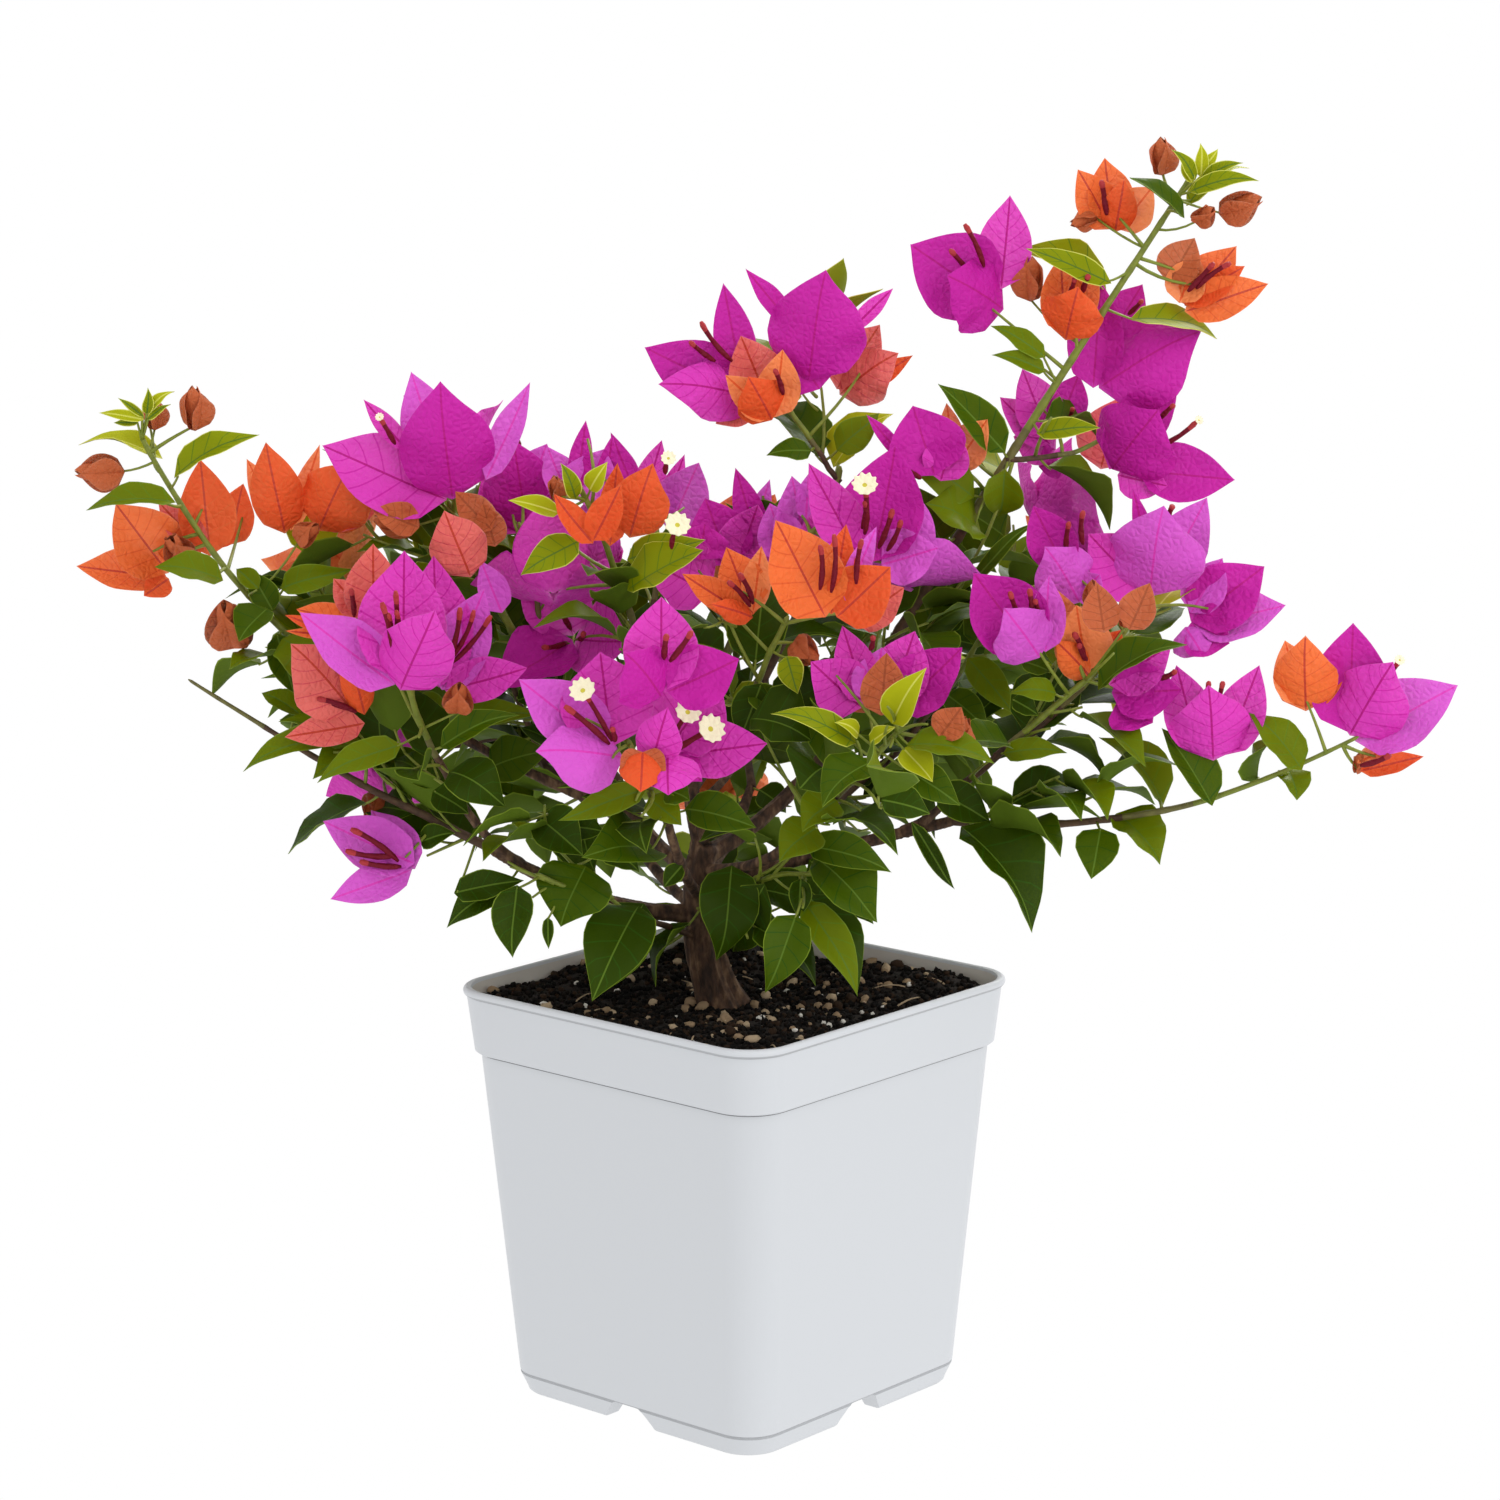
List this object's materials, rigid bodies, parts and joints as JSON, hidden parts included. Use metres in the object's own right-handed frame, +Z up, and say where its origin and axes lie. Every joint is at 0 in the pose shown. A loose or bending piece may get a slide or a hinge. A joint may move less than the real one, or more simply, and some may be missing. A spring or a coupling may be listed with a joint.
{
  "type": "bougainvillea bonsai",
  "caption": "Small potted flowering shrub with magenta and orange papery blooms on spreading shoots, in a square tapered nursery pot.",
  "frame": {"origin": "on the pot's axis at the level of its feet, in the middle of the flat hub under its floor", "axes": "+Z up, +X to the right of someone facing the plant's front, +Y from the front towards the back; the pot stands turned 48.8 degrees about +Z, with one corner towards the front"},
  "size_m": [0.5003, 0.3005, 0.4562],
  "materials": {
    "pot": "satin",
    "soil": "matte",
    "bark": "matte",
    "foliage": "satin"
  },
  "bodies": {
    "root": {"pot": "pot", "soil": "soil", "trunk": "bark", "bough_left": "bark", "bough_left_upper": "bark", "bough_back_left": "bark", "bough_upper_left": "bark", "bough_leader": "bark", "bough_centre_left": "bark", "bough_centre_front": "bark", "bough_top": "bark", "bough_front_left": "bark", "bough_front_right": "bark", "bough_right": "bark", "bough_right_upper": "bark", "bough_back_right": "bark", "bough_back": "bark", "bough_back_low_left": "bark", "bough_back_low_right": "bark", "foliage_upper_left": "foliage", "foliage_left_low": "foliage", "foliage_left_front": "foliage", "foliage_mid_left": "foliage", "foliage_centre_left": "foliage", "foliage_front": "foliage", "foliage_front_right": "foliage", "foliage_centre_front": "foliage", "foliage_centre_back": "foliage", "foliage_top": "foliage", "foliage_upper_right": "foliage", "foliage_right": "foliage", "foliage_lower_right": "foliage", "foliage_low_left": "foliage", "foliage_low_right": "foliage", "foliage_back": "foliage", "foliage_back_left": "foliage", "foliage_back_right": "foliage", "foliage_back_low": "foliage"}
  },
  "joints": []
}
